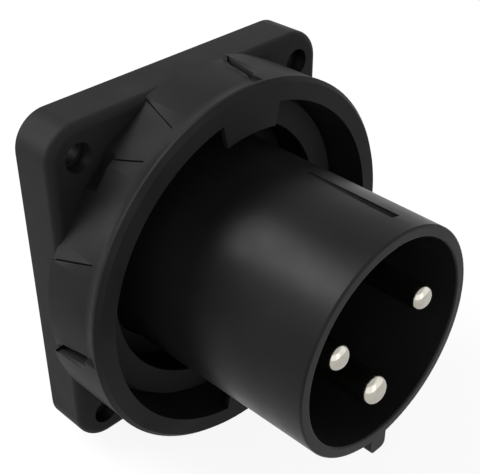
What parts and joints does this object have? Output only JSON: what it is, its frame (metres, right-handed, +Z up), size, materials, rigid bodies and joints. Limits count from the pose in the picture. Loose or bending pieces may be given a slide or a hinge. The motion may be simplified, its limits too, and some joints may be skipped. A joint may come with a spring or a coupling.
{
  "type": "panel-mounted power inlet",
  "caption": "Flanged panel inlet with a round pin shroud inside a bayonet collar, for a three-pole industrial connector.",
  "frame": {"origin": "centre of the flange's panel face, on the plug axis", "axes": "-Y out of the mouth towards the connector, +Z up, with the key and the earth pin at the bottom"},
  "size_m": [0.1164, 0.1122, 0.1164],
  "materials": {
    "housing_plastic": "satin moulded black",
    "shroud_plastic": "smooth satin black",
    "gasket_rubber": "matt black rubber",
    "block_plastic": "satin moulded dark grey",
    "pin_metal": "nickel plated",
    "screw_steel": "zinc plated"
  },
  "bodies": {
    "root": {"housing": "housing_plastic", "collar_gasket": "gasket_rubber", "insert_seal": "gasket_rubber", "panel_gasket": "gasket_rubber", "shroud": "shroud_plastic", "terminal_block": "block_plastic", "pin_line": "pin_metal", "pin_neutral": "pin_metal", "pin_earth": "pin_metal", "clamp_screw_line": "screw_steel", "clamp_screw_neutral": "screw_steel", "clamp_screw_earth": "screw_steel", "insert_screw_1": "screw_steel", "insert_screw_2": "screw_steel", "insert_screw_3": "screw_steel", "insert_screw_4": "screw_steel", "block_screw_1": "screw_steel", "block_screw_2": "screw_steel", "block_screw_3": "screw_steel", "block_screw_4": "screw_steel"}
  },
  "joints": []
}
